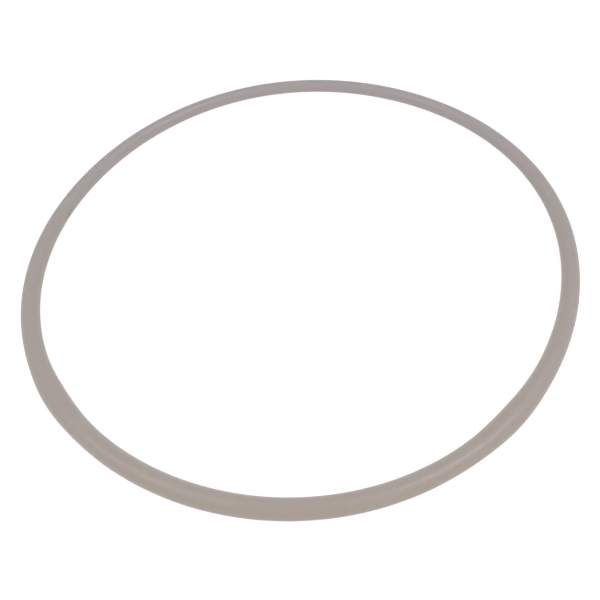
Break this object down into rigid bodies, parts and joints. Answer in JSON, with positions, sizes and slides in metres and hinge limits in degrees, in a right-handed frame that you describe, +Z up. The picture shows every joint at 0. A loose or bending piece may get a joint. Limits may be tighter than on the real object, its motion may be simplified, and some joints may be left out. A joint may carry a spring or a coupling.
{
  "type": "pressure cooker sealing ring",
  "caption": "Translucent silicone lid gasket: a plain ring of solid rubber with a half-round crown over a flat-bottomed base.",
  "frame": {"origin": "the ring's centre, on the surface that its lower land rests on", "axes": "+Z up along the ring's axis, from the pot's rim to the lid; X and Y lie in the ring's plane and are interchangeable"},
  "size_m": [0.24, 0.24, 0.0058],
  "materials": {
    "silicone": "translucent grey-beige moulded silicone, satin"
  },
  "bodies": {
    "root": {"sealing_ring": "silicone"}
  },
  "joints": []
}
